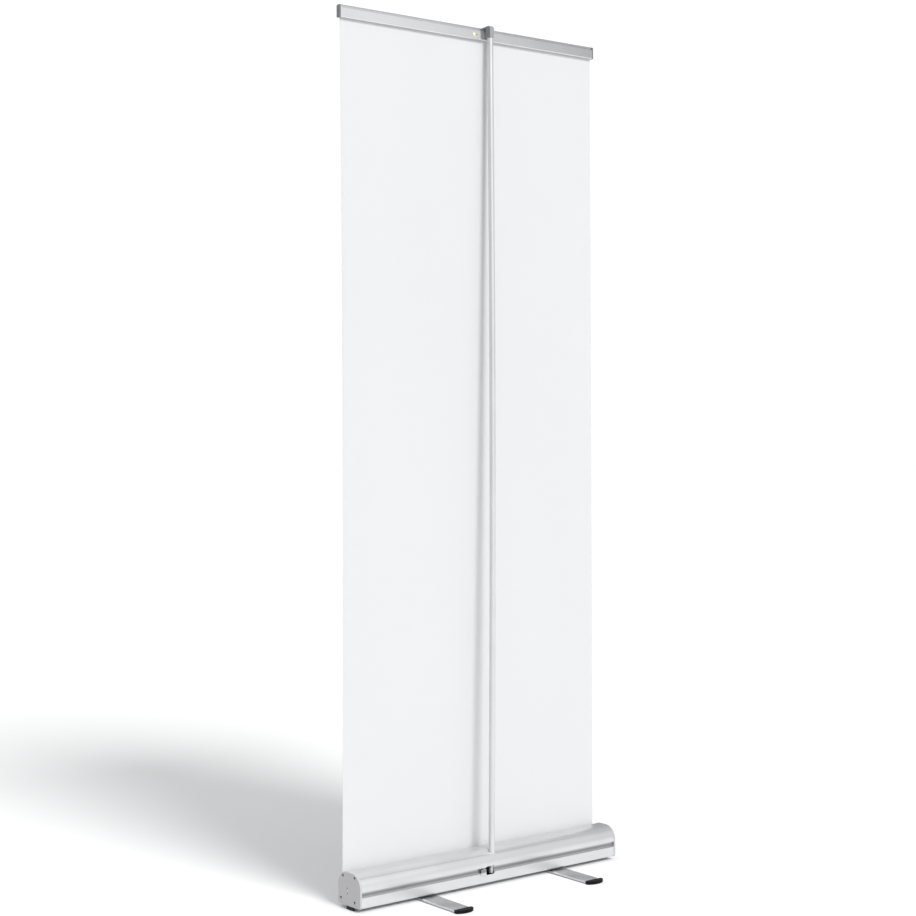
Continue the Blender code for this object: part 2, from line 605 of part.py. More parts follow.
def make_foot_cap(side, x, end, facing):
    half = FOOT_WIDTH / 2 + 1.6 * MM
    corner = 9 * MM
    start, tip = FOOT_CAP_START, FOOT_HALF_LENGTH
    outline = [(-half, start), (half, start)]
    outline += arc((half - corner, tip - corner), (corner, corner), 0, 90, 5)
    outline += arc((corner - half, tip - corner), (corner, corner), 90, 180, 5)
    cap = outline_solid(f"foot_cap_{end}_{side}", outline, FOOT_CAP_HEIGHT, BLACK)
    cap.location = (x, 0, FOOT_CAP_HEIGHT / 2)
    cap.rotation_euler.z = 0.0 if facing > 0 else pi
    rounding = cap.modifiers.new("rounding", "BEVEL")
    rounding.width = 1.0 * MM
    rounding.segments = 2
    rounding.limit_method = "ANGLE"
    rounding.angle_limit = radians(60)
    reach = sorted((facing * (start - 2 * MM), facing * (start + 8 * MM + GAP)))
    pocket = box(f"pocket_{end}_{side}", (x - FOOT_WIDTH / 2 - GAP, reach[0], FOOT_BOTTOM - GAP),
                 (x + FOOT_WIDTH / 2 + GAP, reach[1], FOOT_BOTTOM + FOOT_THICKNESS + GAP), None,
                 collection=CUTTERS)
    return cut(cap, pocket)


make_housing()
make_end_plates()
make_roller()
make_banner()
make_rail()
make_pole()
make_pole_seat()
make_feet()
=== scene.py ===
"""Looks of the roll-up banner stand: fine surfaces, materials, floor, light and camera.

+Z is up, and the base, rail and graphic run along X. The graphic faces -Y and the pole stands on the +Y side.
"""
import json
from math import asin, atan2, cos, pi, radians, sin, sqrt, tan

import bmesh
import bpy
from mathutils import Matrix, Vector


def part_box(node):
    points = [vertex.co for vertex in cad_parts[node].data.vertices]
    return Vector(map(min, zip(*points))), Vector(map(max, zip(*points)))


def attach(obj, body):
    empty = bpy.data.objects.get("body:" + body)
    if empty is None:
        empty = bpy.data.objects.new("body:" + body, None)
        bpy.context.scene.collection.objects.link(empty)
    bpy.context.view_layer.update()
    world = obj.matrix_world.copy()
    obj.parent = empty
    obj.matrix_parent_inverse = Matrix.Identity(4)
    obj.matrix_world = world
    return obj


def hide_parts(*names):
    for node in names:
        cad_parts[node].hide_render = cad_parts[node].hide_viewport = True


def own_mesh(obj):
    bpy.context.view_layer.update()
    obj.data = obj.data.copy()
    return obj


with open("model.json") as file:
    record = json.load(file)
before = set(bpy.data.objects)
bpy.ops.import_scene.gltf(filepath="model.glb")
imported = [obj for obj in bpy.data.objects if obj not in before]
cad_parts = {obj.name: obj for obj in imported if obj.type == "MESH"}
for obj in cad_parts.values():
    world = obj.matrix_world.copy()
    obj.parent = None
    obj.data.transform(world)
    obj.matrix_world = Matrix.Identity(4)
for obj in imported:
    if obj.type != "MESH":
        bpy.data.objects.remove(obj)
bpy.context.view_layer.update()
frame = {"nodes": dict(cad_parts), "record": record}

MM = 0.001
SIDES = {"right": 1, "left": -1}     # as seen from the front of the graphic


def low_high(node):
    low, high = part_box(node)
    return Vector(low), Vector(high)


def middle_of(node):
    low, high = low_high(node)
    return (low + high) / 2


# ---------------------------------------------------------------- sizes

plate_low, plate_high = low_high("end_plate_right")
shell_high = low_high("base_housing")[1]
film_low, film_high = low_high("banner")

BASE_HALF_DEPTH = plate_high.y
BASE_BOTTOM, BASE_TOP = plate_low.z, plate_high.z
BASE_CORNER = 5 * MM
DOME_START = 55 * MM
DOME_FRONT_RADIUS, DOME_REAR_RADIUS = 35.5 * MM, 33.5 * MM
DOME_STEPS, PLATE_STEPS = 28, 24
PROUD = plate_high.y - shell_high.y     # how far the end plates stand out past the housing
WALL = 1.8 * MM
SLOT_HALF_WIDTH = 2 * MM
REAR_LINE_Y, CREST_LINE_Y = 35.5 * MM, -15.5 * MM      # fine slots that run along the dome
GROOVE_TOP, GROOVE_BOTTOM, GROOVE_DEPTH = 48.5 * MM, 35.5 * MM, 4.5 * MM
WINDOW_LEFT, WINDOW_RIGHT, WINDOW_BOTTOM, WINDOW_TOP = 1.5 * MM, 28 * MM, 29.5 * MM, 50.5 * MM
WINDOW_CORNER = 3.5 * MM
PAD_CUT = 9 * MM                        # the pads end this far short of their CAD nodes at the rear

FILM_Y = (film_low.y + film_high.y) / 2
BOW, BOW_SKEW = 3.6 * MM, 3.0 * MM
CURL_REACH, CURL = 16 * MM, 1.1 * MM
RIPPLE = 0.5 * MM

RAIL_STEP = 2124.2 * MM
RAIL_RECESS = 2.2 * MM
RAIL_LIP = 1.0 * MM
RAIL_WALL, RAIL_GRIP = 1.5 * MM, 4 * MM
JAW_SHOULDER_DROP = 3.2 * MM

POLE_FOOT = Vector((0, 31, 20)) * MM
POLE_HEAD = Vector((-44, -16.5, 2107)) * MM
POLE_UP = (POLE_HEAD - POLE_FOOT).normalized()
POLE_LENGTH = (POLE_HEAD - POLE_FOOT).length
POLE_RADIUS, POLE_WALL = 7.5 * MM, 1.0 * MM
POLE_BOW = Vector((1.6, 9.0, 0)) * MM
FERRULE_GAP, FERRULE_WALL = 0.3 * MM, 1.0 * MM
CORD_RADIUS = 2.2 * MM
HEAD_HALF_WIDTH = 6.4 * MM

FOOT_BORE = 4.3 * MM
CAP_EXTRA = 1.5 * MM                    # how much longer a foot's cap is than its CAD node
CAP_SHOULDER = 0.5                      # the straight part of a cap's sides, as a share of its depth
CAP_POCKET = 8.3 * MM
RIVET_BORE = 1.5 * MM
SCREW_RADIUS = 2.9 * MM
SCREW_BORE, SEAT_RADIUS, SEAT_DEPTH = 1.9 * MM, 3.3 * MM, 1.4 * MM
AXLE_BORE, KEY_HOLE, KEY_HOLE_RISE = 3.3 * MM, 1.9 * MM, 6 * MM


# ---------------------------------------------------------------- camera

CAMERA_PLACE = Vector((2.7553, 3.4112, 1.1440))
CAMERA_YAW, CAMERA_PITCH, CAMERA_ROLL = radians(38.1486), radians(0.0177), radians(-0.2064)
CAMERA_LENS, CAMERA_SENSOR, CAMERA_SHIFT = 69.273, 36.0, -0.04


def make_camera():
    data = bpy.data.cameras.new("camera")
    data.lens = CAMERA_LENS
    data.sensor_width = CAMERA_SENSOR
    data.shift_y = CAMERA_SHIFT
    data.clip_start, data.clip_end = 0.05, 200.0
    camera = bpy.data.objects.new("camera", data)
    bpy.context.scene.collection.objects.link(camera)
    level_part = cos(CAMERA_PITCH)
    forward = Vector((-sin(CAMERA_YAW) * level_part, -cos(CAMERA_YAW) * level_part, sin(CAMERA_PITCH)))
    right = forward.cross(Vector((0, 0, 1))).normalized()
    up = right.cross(forward)
    level = Matrix((right, up, -forward)).transposed().to_4x4()
    camera.matrix_world = Matrix.Translation(CAMERA_PLACE) @ level @ Matrix.Rotation(CAMERA_ROLL, 4, "Z")
    bpy.context.scene.camera = camera


# ---------------------------------------------------------------- materials

class Nodes:
    """A material's node tree with short calls for the nodes used here."""

    def __init__(self, name, colour, roughness, metallic=0.0, specular=0.5):
        self.material = bpy.data.materials.new(name)
        self.material.use_nodes = True
        self.tree = self.material.node_tree
        self.shader = self.tree.nodes["Principled BSDF"]
        self.shader.inputs["Base Color"].default_value = (*colour, 1.0)
        self.shader.inputs["Roughness"].default_value = roughness
        self.shader.inputs["Metallic"].default_value = metallic
        self.shader.inputs["Specular IOR Level"].default_value = specular

    def link(self, source, target):
        self.tree.links.new(source, target)

    def add(self, kind, **values):
        node = self.tree.nodes.new(kind)
        for key, value in values.items():
            setattr(node, key, value)
        return node

    def place(self, stretch=(1, 1, 1)):
        """Object coordinates in metres, scaled along each axis."""
        coordinates = self.add("ShaderNodeTexCoord")
        mapping = self.add("ShaderNodeMapping")
        mapping.inputs["Scale"].default_value = stretch
        self.link(coordinates.outputs["Object"], mapping.inputs["Vector"])
        return mapping.outputs["Vector"]

    def noise(self, place, scale, detail=3.0, roughness=0.55):
        node = self.add("ShaderNodeTexNoise")
        node.inputs["Scale"].default_value = scale
        node.inputs["Detail"].default_value = detail
        node.inputs["Roughness"].default_value = roughness
        self.link(place, node.inputs["Vector"])
        return node.outputs["Fac"]

    def spread(self, value, low, high, source_low=0.3, source_high=0.7, smooth=False):
        """Maps a pattern's middle range onto low..high."""
        node = self.add("ShaderNodeMapRange", interpolation_type="SMOOTHSTEP" if smooth else "LINEAR")
        limits = {"From Min": source_low, "From Max": source_high, "To Min": low, "To Max": high}
        for name, number in limits.items():
            node.inputs[name].default_value = number
        self.link(value, node.inputs["Value"])
        return node.outputs["Result"]

    def colours(self, value, first, second):
        """Mixes two colours by a pattern."""
        node = self.add("ShaderNodeMix", data_type="RGBA")
        node.inputs["A"].default_value = (*first, 1.0)
        node.inputs["B"].default_value = (*second, 1.0)
        self.link(value, node.inputs["Factor"])
        return node.outputs["Result"]

    def bump(self, height, distance, strength=1.0, after=None):
        node = self.add("ShaderNodeBump")
        node.inputs["Strength"].default_value = strength
        node.inputs["Distance"].default_value = distance
        self.link(height, node.inputs["Height"])
        if after:
            self.link(after, node.inputs["Normal"])
        self.link(node.outputs["Normal"], self.shader.inputs["Normal"])
        return node.outputs["Normal"]

    def set(self, name, value):
        self.link(value, self.shader.inputs[name])


def shades(colour, share):
    """The colour a little darker and a little lighter."""
    return tuple(c * (1 - share) for c in colour), tuple(min(1.0, c * (1 + share)) for c in colour)


ALONG = {"X": (0.02, 1, 1), "Y": (1, 0.02, 1), "Z": (1, 1, 0.02)}


def drawn_metal(name, colour, roughness, axis, lines=900.0, metallic=1.0, wear=0.03):
    """The nodes of anodised or drawn metal: fine die lines along one axis and a faint cloudiness."""
    nodes = Nodes(name, colour, roughness, metallic)
    stretched = nodes.place(ALONG[axis])
    fine = nodes.noise(stretched, lines, 4.0, 0.65)
    broad = nodes.noise(nodes.place(), 9.0, 2.0)
    grain = nodes.noise(nodes.place(), 3200.0, 1.0)
    nodes.set("Roughness", nodes.spread(fine, roughness - 0.02, roughness + 0.03))
    nodes.set("Base Color", nodes.colours(nodes.spread(broad, 0.0, 1.0), *shades(colour, wear)))
    first = nodes.bump(fine, 0.003 * MM)
    nodes.bump(grain, 0.0015 * MM, after=first)
    return nodes


def moulded(name, colour, roughness, grain_size=1.0, depth=0.03, specular=0.5):
    """Moulded plastic or rubber with a fine spark-eroded grain and slightly polished patches."""
    nodes = Nodes(name, colour, roughness, specular=specular)
    fine = nodes.noise(nodes.place(), 1500.0 / grain_size, 3.0)
    broad = nodes.noise(nodes.place(), 35.0, 3.0)
    nodes.set("Roughness", nodes.spread(broad, roughness - 0.07, roughness + 0.08))
    nodes.set("Base Color", nodes.colours(nodes.spread(fine, 0.0, 1.0), *shades(colour, 0.10)))
    nodes.bump(fine, depth * MM)
    return nodes.material


def plated(name, colour, roughness):
    """Turned and plated metal: fine marks and slight dulling."""
    nodes = Nodes(name, colour, roughness, 1.0)
    marks = nodes.noise(nodes.place(), 700.0, 4.0)
    broad = nodes.noise(nodes.place(), 60.0, 2.0)
    nodes.set("Roughness", nodes.spread(marks, roughness - 0.06, roughness + 0.10))
    nodes.set("Base Color", nodes.colours(nodes.spread(broad, 0.0, 1.0), *shades(colour, 0.06)))
    nodes.bump(marks, 0.01 * MM)
    return nodes.material


def printed_film(name, colour):
    """Matt white banner film: a calendered grain, a faint weave and very slight waviness."""
    nodes = Nodes(name, colour, 0.46, specular=0.35)
    grain = nodes.noise(nodes.place(), 1400.0, 3.0)
    threads = nodes.add("ShaderNodeTexWave", wave_type="BANDS", bands_direction="Z")
    threads.inputs["Scale"].default_value = 260.0
    threads.inputs["Distortion"].default_value = 0.6
    nodes.link(nodes.place(), threads.inputs["Vector"])
    cloud = nodes.noise(nodes.place((1, 1, 0.5)), 2.2, 2.0)
    nodes.set("Base Color", nodes.colours(nodes.spread(cloud, 0.0, 1.0), *shades(colour, 0.008)))
    nodes.set("Roughness", nodes.spread(grain, 0.42, 0.52))
    first = nodes.bump(grain, 0.012 * MM)
    second = nodes.bump(threads.outputs["Fac"], 0.006 * MM, after=first)
    nodes.bump(cloud, 1.2 * MM, 0.35, after=second)
    return nodes.material


def braided(name, colour):
    """Woven elastic sleeve."""
    nodes = Nodes(name, colour, 0.85)
    weave = nodes.add("ShaderNodeTexVoronoi")
    weave.inputs["Scale"].default_value = 900.0
    nodes.link(nodes.place((1, 1, 0.6)), weave.inputs["Vector"])
    nodes.set("Base Color", nodes.colours(weave.outputs["Distance"], *shades(colour, 0.35)))
    nodes.bump(weave.outputs["Distance"], 0.2 * MM)
    return nodes.material


def painted_shade_metal(name, colour, roughness, metallic, band, shade_colour, behind):
    """Drawn aluminium with painted shade: darker in a band of heights, on the side that lies past y = behind.
    """
    nodes = drawn_metal(name, colour, roughness, "X", metallic=metallic)
    middle, core, fade = band
    split = nodes.add("ShaderNodeSeparateXYZ")
    nodes.link(nodes.place(), split.inputs["Vector"])
    centre = nodes.add("ShaderNodeMath", operation="SUBTRACT")
    centre.inputs[1].default_value = middle
    nodes.link(split.outputs["Z"], centre.inputs[0])
    away = nodes.add("ShaderNodeMath", operation="ABSOLUTE")
    nodes.link(centre.outputs["Value"], away.inputs[0])
    inside = nodes.spread(away.outputs["Value"], 1.0, 0.0, core, fade, smooth=True)
    rear = nodes.spread(split.outputs["Y"], 0.0, 1.0, behind, behind + MM)
    both = nodes.add("ShaderNodeMath", operation="MULTIPLY")
    nodes.link(inside, both.inputs[0])
    nodes.link(rear, both.inputs[1])
    clean = nodes.shader.inputs["Base Color"].links[0].from_socket
    # Mixes the painted shade colour into the base colour where the band and side mask are set.
    shade_mix = nodes.add("ShaderNodeMix", data_type="RGBA")
    nodes.link(both.outputs["Value"], shade_mix.inputs["Factor"])
    nodes.link(clean, shade_mix.inputs["A"])
    shade_mix.inputs["B"].default_value = (*shade_colour, 1.0)
    nodes.set("Base Color", shade_mix.outputs["Result"])
    return nodes.material


# A band of painted shade is its middle height, and how far from it the painted shade is full and where it has
# faded out.
# Painted shade in the groove along the housing's rear wall: it stands for the shade inside that recess.
GROOVE_SHADE_BAND = ((GROOVE_TOP + GROOVE_BOTTOM) / 2 - MM, 1.0 * MM, 7.5 * MM)
GROOVE_PAINTED_SHADE, GROOVE_BEHIND = (0.23, 0.235, 0.24), 30 * MM
# Painted shade on the recessed upper band of the rail's rear face: it stands for the shade in that recess.
RAIL_SHADE_BAND = (RAIL_STEP + 4 * MM, 1.8 * MM, 4.6 * MM)
RAIL_PAINTED_SHADE, RAIL_BEHIND = (0.60, 0.61, 0.615), -31 * MM
# The housing and rail metals carry these bands of painted shade.
HOUSING = painted_shade_metal("housing_anodised", (0.655, 0.66, 0.665), 0.33, 0.74,
                       GROOVE_SHADE_BAND, GROOVE_PAINTED_SHADE, GROOVE_BEHIND)
RAIL = painted_shade_metal("rail_anodised", (0.81, 0.82, 0.83), 0.18, 0.93,
                    RAIL_SHADE_BAND, RAIL_PAINTED_SHADE, RAIL_BEHIND)
POLE = drawn_metal("pole_anodised", (0.62, 0.62, 0.63), 0.30, "Z", lines=1400.0, metallic=0.5).material
FOOT = drawn_metal("foot_anodised", (0.62, 0.62, 0.63), 0.24, "Y", lines=700.0, wear=0.05).material
PLATE = moulded("end_plate_lacquer", (0.455, 0.45, 0.465), 0.42, depth=0.015)
FILM = printed_film("banner_film", (0.575, 0.58, 0.59))
BLACK = moulded("black_abs", (0.004, 0.004, 0.004), 0.55, specular=0.12)
GREY = moulded("grey_abs", (0.27, 0.275, 0.28), 0.34, depth=0.02)
DARK = moulded("charcoal_abs", (0.165, 0.168, 0.17), 0.40, depth=0.02)
RUBBER = moulded("black_rubber", (0.018, 0.018, 0.018), 0.72, grain_size=2.0, depth=0.06, specular=0.3)
STEEL = plated("zinc_steel", (0.62, 0.62, 0.63), 0.28)
BLACKENED = plated("black_oxide_steel", (0.05, 0.05, 0.055), 0.34)
BRASS = plated("lacquered_brass", (0.97, 0.90, 0.62), 0.24)
NYLON = moulded("white_nylon", (0.72, 0.72, 0.69), 0.45)
ELASTIC = braided("elastic_sleeve", (0.20, 0.20, 0.21))


# ---------------------------------------------------------------- mesh tools

def shade(mesh, angle):
    mesh.shade_smooth()
    mesh.set_sharp_from_angle(angle=radians(angle))


def link_mesh(name, work, material=None, angle=30):
    """A new object from a bmesh, shaded smooth up to that angle."""
    bmesh.ops.recalc_face_normals(work, faces=work.faces)
    mesh = bpy.data.meshes.new(name)
    work.to_mesh(mesh)
    work.free()
    shade(mesh, angle)
    if material:
        mesh.materials.append(material)
    item = bpy.data.objects.new(name, mesh)
    bpy.context.scene.collection.objects.link(item)
    return item


def settle(item, angle=30):
    """Applies an object's modifiers to its mesh."""
    bpy.context.view_layer.update()
    evaluated = item.evaluated_get(bpy.context.evaluated_depsgraph_get())
    mesh = bpy.data.meshes.new_from_object(evaluated)
    item.modifiers.clear()
    item.data = mesh
    shade(mesh, angle)
    return item


def combine(item, operation, *others, angle=30):
    """Cuts the others out of an item, or adds them to it, and removes them."""
    for other in others:
        step = item.modifiers.new(operation, "BOOLEAN")
        step.operation = operation
        step.solver = "EXACT"
        step.object = other
    settle(item, angle)
    for other in others:
        bpy.data.objects.remove(other, do_unlink=True)
    return item


def soften(work, width, segments=3, angle=35):
    """Rounds a bmesh's sharp edges."""
    inner = [edge for edge in work.edges if len(edge.link_faces) == 2]
    sharp = [edge for edge in inner if edge.calc_face_angle(0) > radians(angle)]
    bmesh.ops.bevel(work, geom=sharp, offset=width, segments=segments, profile=0.5, affect="EDGES",
                    clamp_overlap=True)
    return work


def round_rim(work, x, width, segments):
    """Rounds the edges that lie in the plane at x."""
    rim = [edge for edge in work.edges if all(abs(vertex.co.x - x) < 1e-6 for vertex in edge.verts)]
    bmesh.ops.bevel(work, geom=rim, offset=width, segments=segments, profile=0.5, affect="EDGES")


def arc(centre, radii, start, end, steps):
    """Points on an ellipse arc, angles in degrees."""
    turns = [radians(start + (end - start) * step / steps) for step in range(steps + 1)]
    return [(centre[0] + radii[0] * cos(turn), centre[1] + radii[1] * sin(turn)) for turn in turns]


def rounded(corners, steps=4):
    """A closed outline whose corners (across, up, radius) are filleted."""
    points = []
    for index, (across, up, radius) in enumerate(corners):
        here = Vector((across, up))
        before = Vector(corners[index - 1][:2]) - here
        after = Vector(corners[(index + 1) % len(corners)][:2]) - here
        if radius == 0:
            points.append(tuple(here))
            continue
        half = before.angle(after) / 2
        reach = min(radius / tan(half), 0.49 * min(before.length, after.length))
        first, last = before.normalized() * reach, after.normalized() * reach
        centre = (first + last).normalized() * (reach / cos(half))
        first, last = first - centre, last - centre
        start = atan2(first.y, first.x)
        sweep = (atan2(last.y, last.x) - start + pi) % (2 * pi) - pi
        for step in range(steps + 1):
            turn = start + sweep * step / steps
            place = here + centre + Vector((cos(turn), sin(turn))) * first.length
            points.append(tuple(place))
    return points


def rounded_box(low, high, radius, steps=4):
    """A box's outline seen along Y, with filleted corners."""
    return rounded([(low.x, low.z, radius), (high.x, low.z, radius), (high.x, high.z, radius),
                    (low.x, high.z, radius)], steps)


# An outline's two directions and the one that it runs along, in world order.
TO_WORLD = {"X": lambda u, v, w: (w, u, v),
            "Y": lambda u, v, w: (u, w, v),
            "Z": lambda u, v, w: (u, v, w)}


def prism(outline, stations, axis):
    """A bmesh of a closed outline run through the stations along an axis, with capped ends."""
    work = bmesh.new()
    turn = TO_WORLD[axis]
    rings = [[work.verts.new(turn(u, v, station)) for u, v in outline] for station in stations]
    count = len(outline)
    for first, second in zip(rings, rings[1:]):
        for index in range(count):
            after = (index + 1) % count
            work.faces.new((first[index], first[after], second[after], second[index]))
    work.faces.new(rings[0])
    work.faces.new(rings[-1])
    return work


def stations(start, end, spacing):
    count = max(1, round(abs(end - start) / spacing))
    return [start + (end - start) * step / count for step in range(count + 1)]


def lathe(profile, origin, direction, sides=48):
    """A bmesh of (radius, height) points turned about an axis. A radius of 0 closes an end."""
    work = bmesh.new()
    turn = Vector(direction).to_track_quat("Z", "Y").to_matrix()
    origin = Vector(origin)
    rings = []
    for radius, height in profile:
        if radius < 1e-7:
            rings.append([work.verts.new(origin + turn @ Vector((0, 0, height)))])
            continue
        ring = []
        for side in range(sides):
            angle = 2 * pi * side / sides
            place = Vector((radius * cos(angle), radius * sin(angle), height))
            ring.append(work.verts.new(origin + turn @ place))
        rings.append(ring)
    closed = len(rings[0]) > 1 and len(rings[-1]) > 1
    pairs = list(zip(rings, rings[1:])) + ([(rings[-1], rings[0])] if closed else [])
    for first, second in pairs:
        for side in range(sides):
            after = (side + 1) % sides
            if len(first) == 1:
                work.faces.new((first[0], second[side], second[after]))
            elif len(second) == 1:
                work.faces.new((first[side], first[after], second[0]))
            else:
                work.faces.new((first[side], first[after], second[after], second[side]))
    return work


def cylinder(start, end, radius, sides=48):
    start, end = Vector(start), Vector(end)
    length = (end - start).length
    return lathe([(0, 0), (radius, 0), (radius, length), (0, length)], start, end - start, sides)


def block(low, high, width=0.0, segments=3):
    """A box between two corners with rounded edges."""
    low, high = Vector(low), Vector(high)
    work = bmesh.new()
    bmesh.ops.create_cube(work, size=1.0)
    bmesh.ops.scale(work, vec=high - low, verts=work.verts)
    bmesh.ops.translate(work, vec=(low + high) / 2, verts=work.verts)
    return soften(work, width, segments) if width else work


def merged(*parts):
    """One bmesh of several."""
    whole = bmesh.new()
    for part in parts:
        mesh = bpy.data.meshes.new("part")
        part.to_mesh(mesh)
        part.free()
        whole.from_mesh(mesh)
        bpy.data.meshes.remove(mesh)
    return whole


def fit(item, body, slot, *nodes):
    """Puts a finished piece on its body, in place of its CAD nodes."""
    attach(item, body)
    if nodes:
        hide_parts(*nodes)
    return item


# ---------------------------------------------------------------- base

def base_arcs(inset, steps):
    """The base's outline in (Y, Z), as rear dome, lower rear, lower front and front dome."""
    depth, bottom, rise = BASE_HALF_DEPTH - inset, BASE_BOTTOM + inset, BASE_TOP - DOME_START - inset
    corner = BASE_CORNER
    rear_centre = (BASE_HALF_DEPTH - DOME_REAR_RADIUS, DOME_START)
    front_centre = (DOME_FRONT_RADIUS - BASE_HALF_DEPTH, DOME_START)
    rear = arc(rear_centre, (DOME_REAR_RADIUS - inset, rise), 90, 0, steps)
    lower_rear = arc((depth - corner, bottom + corner), (corner, corner), 0, -90, 8)
    lower_front = arc((corner - depth, bottom + corner), (corner, corner), -90, -180, 8)
    front = arc(front_centre, (DOME_FRONT_RADIUS - inset, rise), 180, 90, steps)
    return rear, lower_rear, lower_front, front


def dome_height(y, inset):
    """The front dome's height at y."""
    centre = DOME_FRONT_RADIUS - BASE_HALF_DEPTH
    across = (centre - y) / (DOME_FRONT_RADIUS - inset)
    return DOME_START + (BASE_TOP - DOME_START - inset) * sqrt(1 - across * across)


def scored(points, y_line, half_width, sink):
    """An outline with a narrow slot cut in where it passes y_line."""
    index = min(range(1, len(points) - 1), key=lambda k: abs(points[k][0] - y_line))
    here = Vector(points[index])
    along = (Vector(points[index + 1]) - Vector(points[index - 1])).normalized()
    inward = Vector((along.y, -along.x))
    root = 0.8 * half_width
    sides = ((-half_width, 0), (-root, sink), (root, sink), (half_width, 0))
    slot = [tuple(here + along * offset + inward * depth) for offset, depth in sides]
    return points[:index] + slot + points[index + 1:]


def groove_points(depth, spread, fillets):
    """The groove along the rear wall, from its top edge to its bottom edge."""
    slope = 0.8 * MM
    top, bottom = GROOVE_TOP + spread, GROOVE_BOTTOM - spread
    edge, root = fillets
    return rounded([(depth, top + 3 * MM, 0), (depth, top, edge), (depth - GROOVE_DEPTH, top - slope, root),
                    (depth - GROOVE_DEPTH, bottom + slope, root), (depth, bottom, edge),
                    (depth, bottom - 3 * MM, 0)])


def shell_path(inset, detailed):
    """The housing's wall as one open line, from the slot's rear lip round to its front lip."""
    rear, lower_rear, lower_front, front = base_arcs(inset, DOME_STEPS)
    rear_lip, front_lip = FILM_Y + SLOT_HALF_WIDTH, FILM_Y - SLOT_HALF_WIDTH
    over = [point for point in front if point[0] > rear_lip + MM] + rear
    if detailed:
        over = scored(over, CREST_LINE_Y, 1.2 * MM, 1.2 * MM)
        over = scored(over, REAR_LINE_Y, 0.6 * MM, 1.1 * MM)
    spread = inset - PROUD
    over += groove_points(BASE_HALF_DEPTH - inset, spread, (0.8 * MM, MM) if detailed else (0, 0))
    under = lower_rear + lower_front + [point for point in front if point[0] < front_lip - MM]
    first, last = (rear_lip, dome_height(rear_lip, inset)), (front_lip, dome_height(front_lip, inset))
    if not detailed:
        return [first] + over + under + [last]
    roll = 0.4 * MM
    return ([(first[0], first[1] - 2 * roll), (first[0] + roll, first[1] - 0.3 * roll)] + over + under
            + [(last[0] - roll, last[1] - 0.5 * roll), (last[0], last[1] - 2 * roll)])


def make_housing():
    """The extruded shell, finer round the pole, with its window, pole opening and bolt and rivet holes."""
    outline = shell_path(PROUD, True) + shell_path(PROUD + WALL, False)[::-1]
    half, fine_half = shell_high.x, 30 * MM
    fine = stations(-fine_half, fine_half, 3 * MM)
    places = stations(-half, -fine_half, 12 * MM)[:-1] + fine + stations(fine_half, half, 12 * MM)[1:]
    shell = link_mesh("housing_shell", prism(outline, places, "X"), HOUSING, 25)

    window_low = Vector((WINDOW_LEFT, 0, WINDOW_BOTTOM))
    window_high = Vector((WINDOW_RIGHT, 0, WINDOW_TOP))
    window = rounded_box(window_low, window_high, WINDOW_CORNER, 6)
    opening = link_mesh("window", prism(window, [30 * MM, 60 * MM], "Y"))
    bore_start, bore_end = POLE_FOOT + POLE_UP * 30 * MM, POLE_FOOT + POLE_UP * 90 * MM
    bore = link_mesh("bore", cylinder(bore_start, bore_end, POLE_RADIUS + 0.4 * MM))
    cutters = [opening, bore]
    for side in SIDES:
        x = middle_of("foot_bolt_" + side).x
        cutters.append(link_mesh("pivot_hole", cylinder((x, 0, 0), (x, 0, 16 * MM), FOOT_BORE)))
    rivet = middle_of("guide_rivet")
    rivet_ends = (rivet.x, 38 * MM, rivet.z), (rivet.x, 50 * MM, rivet.z)
    cutters.append(link_mesh("rivet_hole", cylinder(*rivet_ends, RIVET_BORE, 24)))
    combine(shell, "DIFFERENCE", *cutters, angle=25)
    fit(shell, "base", "housing_aluminium", "base_housing")


def make_screw(name, place, sign):
    """A blackened pan head with a cross recess, its top at the place and facing along sign times X."""
    shank, radius = 1.5 * MM, SCREW_RADIUS
    profile = [(0, -2.5 * MM), (shank, -2.5 * MM), (shank, -1.2 * MM), (radius, -1.2 * MM),
               (radius, -0.55 * MM), (0.92 * radius, -0.22 * MM), (0.7 * radius, -0.04 * MM), (0, 0)]
    item = link_mesh(name, lathe(profile, place, (sign, 0, 0), 32), BLACKENED)
    long, short, depth = 1.7 * MM, 0.28 * MM, 0.9 * MM
    slots = []
    for across, up in ((long, short), (short, long)):
        reach = Vector((depth, across, up))
        slots.append(link_mesh("slot", block(place - reach, place + reach)))
    return combine(item, "DIFFERENCE", *slots)


def make_end_plates():
    rear, lower_rear, lower_front, front = base_arcs(0.0, PLATE_STEPS)
    outline = rear + lower_rear + lower_front + front
    axle = middle_of("spring_axle")
    for side, sign in SIDES.items():
        low, high = low_high("end_plate_" + side)
        inner, outer = (low.x, high.x) if sign > 0 else (high.x, low.x)
        work = prism(outline, [inner, outer], "X")
        round_rim(work, outer, 1.3 * MM, 4)
        plate = link_mesh("end_plate_face_" + side, work, PLATE, 30)
        past_face, past_back = outer + sign * MM, inner - sign * MM
        holes = [(axle.y, axle.z, AXLE_BORE)]
        holes += [(axle.y, axle.z + rise, KEY_HOLE) for rise in (KEY_HOLE_RISE, -KEY_HOLE_RISE)]
        cutters = []
        for name in ("upper_rear", "lower_rear", "lower_front", "upper_front"):
            node = f"end_screw_{name}_{side}"
            screw_low, screw_high = low_high(node)
            place = (screw_low + screw_high) / 2
            place.x = (screw_high if sign > 0 else screw_low).x
            holes.append((place.y, place.z, SCREW_BORE))
            seat_start = (outer - sign * SEAT_DEPTH, place.y, place.z)
            seat = cylinder(seat_start, (past_face, place.y, place.z), SEAT_RADIUS, 32)
            cutters.append(link_mesh("seat", seat))
            fit(make_screw(f"screw_{name}_{side}", place, sign), "base", "steel", node)
        for y, z, radius in holes:
            cutters.append(link_mesh("hole", cylinder((past_back, y, z), (past_face, y, z), radius, 32)))
        combine(plate, "DIFFERENCE", *cutters)
        fit(plate, "base", "end_plate_grey", "end_plate_" + side)


def make_pads():
    for side in SIDES:
        low, high = low_high("pad_" + side)
        high.y -= PAD_CUT
        pad = link_mesh("foot_pad_" + side, block(low, high, 1.2 * MM, 4), RUBBER)
        fit(pad, "base", "rubber", "pad_" + side)


